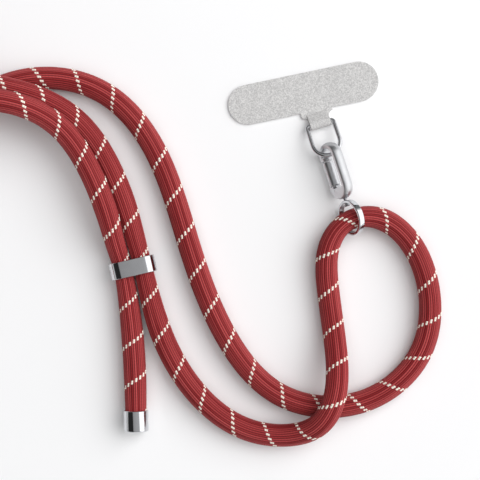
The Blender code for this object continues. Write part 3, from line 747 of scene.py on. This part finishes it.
def oval_link():
    """The link: its eye, gate bay and hinge slot cut out, with its shoulder and hinge pin."""
    eye = CLIP_WIDTH / 2 - CLIP_WALL
    eye_top = CLIP_LOW + CLIP_LENGTH - CLIP_WIDTH / 2
    bay_top = gate_high + SEAM_GAP
    step_top = GATE_LOW - CLIP_GAP
    opening = arc((0, eye_top), eye, 0, 180, 32)
    opening += [(-eye, eye_top), (-eye, GATE_LOW + CUT_OVERLAP), (-eye / 2, GATE_LOW + CUT_OVERLAP)]
    opening += [(-eye / 2, BLOCK_TOP), (eye, BLOCK_TOP)]
    scoop = step_top - BLOCK_TOP
    bay = [(-CLIP_WIDTH, bay_top), (-CLIP_WIDTH, step_top)]
    bay += arc((HINGE.x + scoop, step_top), scoop, 180, 270, 8)
    bay += [(HINGE.x + scoop, BLOCK_TOP), (0, BLOCK_TOP), (0, bay_top)]
    dome = bay_top + SHOULDER_HEIGHT
    shoulder = [(0, bay_top), (GATE_RADIUS - SEAM_EDGE, bay_top), (GATE_RADIUS, bay_top + SEAM_EDGE)]
    shoulder += arc((0, dome), GATE_RADIUS, 0, 90, 10) + [(0, dome + GATE_RADIUS)]
    to_gate = Matrix.Translation((gate_x, 0, 0)) @ along_line
    slot_half = TONGUE_THICKNESS / 2 + CLIP_GAP
    slot_side = HINGE.x + KNUCKLE_RADIUS + 2 * CLIP_GAP + SLOT_ROOM
    slot = box(-CLIP_WIDTH, slot_side, HINGE.y - KNUCKLE_RADIUS - CLIP_GAP, GATE_LOW, slot_half)
    pin_half = CLIP_DEPTH / 2 + HINGE_PIN_PROUD
    return worked(crowned_blank(), [
        ("DIFFERENCE", prism(opening, -CLIP_DEPTH, CLIP_DEPTH)),
        ("DIFFERENCE", prism(bay, -CLIP_DEPTH, CLIP_DEPTH)),
        ("BEVEL", (CLIP_EDGE, 3)),
        ("UNION", turned("shoulder", shoulder, GATE_STEPS, to_gate)),
        ("DIFFERENCE", slot),
        ("UNION", rod(HINGE_PIN_RADIUS, -pin_half, pin_half, PIN_STEPS, Matrix.Translation(HINGE))),
    ])


def swivel_pin():
    """The pin from the block's foot through the ring, with its riveted head inside."""
    head_top = math.sqrt((RING_RADIUS - RING_THICKNESS) ** 2 - HEAD_RADIUS ** 2) - CLIP_GAP
    head_low = head_top - HEAD_LENGTH
    root = CLIP_LOW + CLIP_WALL / 2
    pin = [(0, head_low), (HEAD_RADIUS - HEAD_CHAMFER, head_low),
           (HEAD_RADIUS, head_low + HEAD_CHAMFER), (HEAD_RADIUS, head_top),
           (SHANK_RADIUS, head_top), (SHANK_RADIUS, root), (0, root)]
    return turned("swivel_pin", pin, 32, along_line)


satin = polished_nickel("satin nickel plate", "D2D3D5", roughness=0.4, grain=0.2 * MM)
# Steel for the swivel pin, its colour darkened further as painted shade for the dark neck between the clip
# and the ring
shade_darkened_steel = polished_nickel("steel darkened as painted shade", "5A5A5E", roughness=0.2, grain=0.15 * MM)
add_metal(finished("clip_link", oval_link(), clip_frame_place), satin, "clip", "clip_frame")
pin = finished("swivel_pin", swivel_pin(), line_frame)
add_piece("swivel_pin", pin, shade_darkened_steel, "clip")

# Gate: a round zinc bar, satin nickel plated. Its tongue turns on the hinge pin, and a
# spring inside holds it shut, with a fine seam between it and the shoulder.


def gate_bar():
    """The bar with its tongue and the bore for the hinge pin."""
    top = GATE_LOW + GATE_EDGE
    profile = [(0, GATE_LOW)]
    profile += arc((GATE_RADIUS - GATE_EDGE, top), GATE_EDGE, -90, 0, 4)
    profile += [(GATE_RADIUS, top), (GATE_RADIUS, gate_high - SEAM_EDGE)]
    profile += [(GATE_RADIUS - SEAM_EDGE, gate_high), (0, gate_high)]
    place = Matrix.Translation((gate_x, 0, 0)) @ along_line
    bar = turned("gate_bar", profile, GATE_STEPS, place)
    tongue = arc(HINGE, KNUCKLE_RADIUS, 180, 360, 16)
    tongue += [(HINGE.x + KNUCKLE_RADIUS, HINGE.y), (HINGE.x + KNUCKLE_RADIUS / 2, top),
               (HINGE.x - KNUCKLE_RADIUS, top)]
    bore = rod(HINGE_PIN_RADIUS + CLIP_GAP, -CLIP_DEPTH, CLIP_DEPTH, PIN_STEPS,
               Matrix.Translation(HINGE))
    half = TONGUE_THICKNESS / 2
    return worked(bar, [("UNION", prism(tongue, -half, half)), ("DIFFERENCE", bore)])


add_metal(finished("gate_bar", gate_bar(), clip_frame_place), satin, "gate", "clip_gate")

# Wire loop: bent steel wire, butt welded, polished and nickel plated. Its straight side
# lies in the card's folded tab and its round bow hangs in the clip.
WIRE_RADIUS = 0.9 * MM
WIRE_STEPS = 20
LOOP_HALF_WIDTH = 5.55 * MM
LOOP_REACH = 13.4 * MM
LOOP_RISE = 4.5 * MM
LOOP_CORNER = 1.1 * MM
LOOP_TURN = math.radians(17)
LOOP_ASIDE = 0.09 * MM
LOOP_PAST_CLIP = 8.37 * MM
LOOP_FROM_RING = Vector((LOOP_ASIDE, CLIP_LOW + CLIP_LENGTH + LOOP_PAST_CLIP, 0))
LOOP_HEIGHT = 2.08 * MM


def loop_outline():
    """The wire's centre line, anticlockwise from its right corner."""
    half = LOOP_HALF_WIDTH
    low = half - math.hypot(LOOP_RISE, LOOP_REACH)
    return (arc((half - LOOP_CORNER, -LOOP_CORNER), LOOP_CORNER, 0, 90, 8)
            + [(half - LOOP_CORNER, 0)]
            + arc((LOOP_CORNER - half, -LOOP_CORNER), LOOP_CORNER, 90, 180, 8)
            + [(-half, -LOOP_CORNER)]
            + arc((0, low), half, 180, 360, 36) + [(half, low)])


loop_middle = RING_CENTRE + Matrix.Rotation(LINE_TURN, 3, "Z") @ LOOP_FROM_RING
loop_middle.z = LOOP_HEIGHT
loop_place = (Matrix.Translation(loop_middle) @ Matrix.Rotation(LOOP_TURN, 4, "Z")
              @ Matrix.Rotation(-math.atan2(LOOP_RISE, LOOP_REACH), 4, "X"))
wire_section = arc((0, 0), WIRE_RADIUS, 0, 360, WIRE_STEPS)
loop_wire = swept("loop_wire", loop_outline(), wire_section, loop_place)
add_metal(loop_wire, polish, "clip", "wire_loop")

# Card: two layers of heathered grey woven fabric pressed over a thin stiff sheet and
# sealed. Its tab is folded round the wire and sealed back on itself.
FLECK_SIZE = 0.37 * MM      # several fibres wide, because one would be too fine to show
CLOUD_SIZE = 2.4 * MM
CLOUD_SHARE = 0.14
TONE_EDGES = (0.42, 0.72)
FABRIC_DARK = "AFAEAE"
FABRIC_PALE = "DBDAD9"
FIBRE_RELIEF = 0.05 * MM


def heathered_fabric():
    """Pressed heathered fabric: matt, with light and dark fibres mixed and a faint relief."""
    material, tree, shader = new_finish("heathered card fabric", Roughness=0.85, Sheen_Weight=0.1)
    place = add_node(tree, "TexCoord").outputs["Object"]
    flecks, clouds = [
        add_node(tree, "TexNoise", {"Vector": place, "Scale": 1 / size, "Detail": 2.0}).outputs[0]
        for size in (FLECK_SIZE, CLOUD_SIZE)]
    mixed = add_node(tree, "Math", {0: clouds, 1: CLOUD_SHARE, 2: flecks},
                     operation="MULTIPLY_ADD").outputs[0]
    tone = add_node(tree, "MapRange", {0: mixed, 1: TONE_EDGES[0], 2: TONE_EDGES[1]}).outputs[0]
    colour = add_node(tree, "Mix", {0: tone, 6: linear(FABRIC_DARK), 7: linear(FABRIC_PALE)},
                      data_type="RGBA").outputs[2]
    bump = add_node(
        tree, "Bump", {"Height": flecks, "Distance": FIBRE_RELIEF, "Strength": 0.5}).outputs[0]
    tree.links.new(colour, shader.inputs["Base Color"])
    tree.links.new(bump, shader.inputs["Normal"])
    return material


for slot in nodes["tether_card"].material_slots:
    slot.material = heathered_fabric()

# Studio: a white table in a grey room. A large soft box glows low on the right and a black
# flag stands on the left, which give the polished metal its white and black bands.
TABLE_SIZE = 12.0
TABLE_DROP = 0.05 * MM
TABLE_WHITE = "F6F6F7"
ROOM_TURN = math.radians(13)
STRAP_MIDDLE = (-0.03, -0.06, 0)

# Glow by how far a direction points to the right, from -1 at the flag to 1 at the soft box
ROOM_BANDS = [
    (-1.0, 0.03),
    (-0.42, 0.02),
    (-0.34, 0.34),
    (0.0, 0.42),
    (0.52, 0.50),
    (0.60, 1.6),
    (1.0, 1.6),
]

# Each pair is where a change begins and ends, by a direction's height, depth or side
ROOM_FOOT = (0.02, 0.06)    # the dark line along the floor
FOOT_GLOW = 0.08
ROOM_SILL = (0.34, 0.26)    # the pale wall that shows under the flag
SILL_SIDE = (-0.5, -0.8)
SILL_GLOW = 0.6
ROOM_FAR = (0.6, 0.78)      # the unlit far end of the room
FAR_GLOW = 0.12


def white_table():
    """A flat white table top."""
    mesh = bpy.data.meshes.new("table_top")
    half = TABLE_SIZE / 2
    corners = [(-half, -half, 0), (half, -half, 0), (half, half, 0), (-half, half, 0)]
    mesh.from_pydata(corners, [], [(0, 1, 2, 3)])
    table = bpy.data.objects.new("table_top", mesh)
    table.location = (0, 0, -TABLE_DROP)
    bpy.context.scene.collection.objects.link(table)
    material, _, shader = new_finish("white table", Roughness=0.9)
    shader.inputs["Base Color"].default_value = linear(TABLE_WHITE)
    mesh.materials.append(material)


def soft_light(name, place, size, watts):
    """A square area light that points at the strap and doesn't show in the metal."""
    light = bpy.data.lights.new(name, "AREA")
    light.size = size
    light.energy = watts
    lamp = bpy.data.objects.new(name, light)
    lamp.location = place
    lamp.rotation_euler = (Vector(STRAP_MIDDLE) - Vector(place)).to_track_quat("-Z", "Y").to_euler()
    lamp.visible_glossy = False
    bpy.context.scene.collection.objects.link(lamp)


def grey_room():
    """The room round the table: its brightness by direction, from the flag to the soft box."""
    world = bpy.data.worlds.new("grey_room")
    world.use_nodes = True
    tree = world.node_tree
    way = add_node(tree, "TexCoord").outputs["Generated"]
    right = (math.cos(ROOM_TURN), math.sin(ROOM_TURN), 0)
    across = add_node(tree, "VectorMath", {0: way, 1: right},
                      operation="DOT_PRODUCT").outputs["Value"]
    place = add_node(tree, "MapRange", {0: across, 1: -1.0, 2: 1.0}).outputs[0]
    ramp = add_node(tree, "ValToRGB", {0: place})
    bands = ramp.color_ramp.elements
    while len(bands) < len(ROOM_BANDS):
        bands.new(0.5)
    for band, (position, glow) in zip(bands, ROOM_BANDS):
        band.position = (position + 1) / 2
        band.color = (glow, glow, glow, 1)
    parts = add_node(tree, "SeparateXYZ", {0: way})
    depth, height = parts.outputs[1], parts.outputs[2]
    above = add_node(tree, "MapRange", {0: height, 1: ROOM_FOOT[0], 2: ROOM_FOOT[1], 3: FOOT_GLOW, 4: 1.0})
    near = add_node(tree, "MapRange", {0: depth, 1: ROOM_FAR[0], 2: ROOM_FAR[1], 3: 1.0, 4: FAR_GLOW})
    strength = add_node(tree, "Math", {0: above.outputs[0], 1: near.outputs[0]}, operation="MULTIPLY")
    low = add_node(tree, "MapRange", {0: height, 1: ROOM_SILL[0], 2: ROOM_SILL[1]}).outputs[0]
    left = add_node(tree, "MapRange", {0: across, 1: SILL_SIDE[0], 2: SILL_SIDE[1]}).outputs[0]
    sill = add_node(tree, "Math", {0: low, 1: left}, operation="MULTIPLY").outputs[0]
    pale = (SILL_GLOW, SILL_GLOW, SILL_GLOW, 1)
    colour = add_node(tree, "Mix", {0: sill, 6: ramp.outputs[0], 7: pale}, data_type="RGBA").outputs[2]
    tree.links.new(colour, tree.nodes["Background"].inputs[0])
    tree.links.new(strength.outputs[0], tree.nodes["Background"].inputs[1])
    bpy.context.scene.world = world


white_table()
soft_light("key_light", place=(0.9, 0.45, 1.1), size=1.3, watts=15.0)
soft_light("fill_light", place=(-0.2, -0.1, 1.6), size=1.8, watts=8.0)
grey_room()
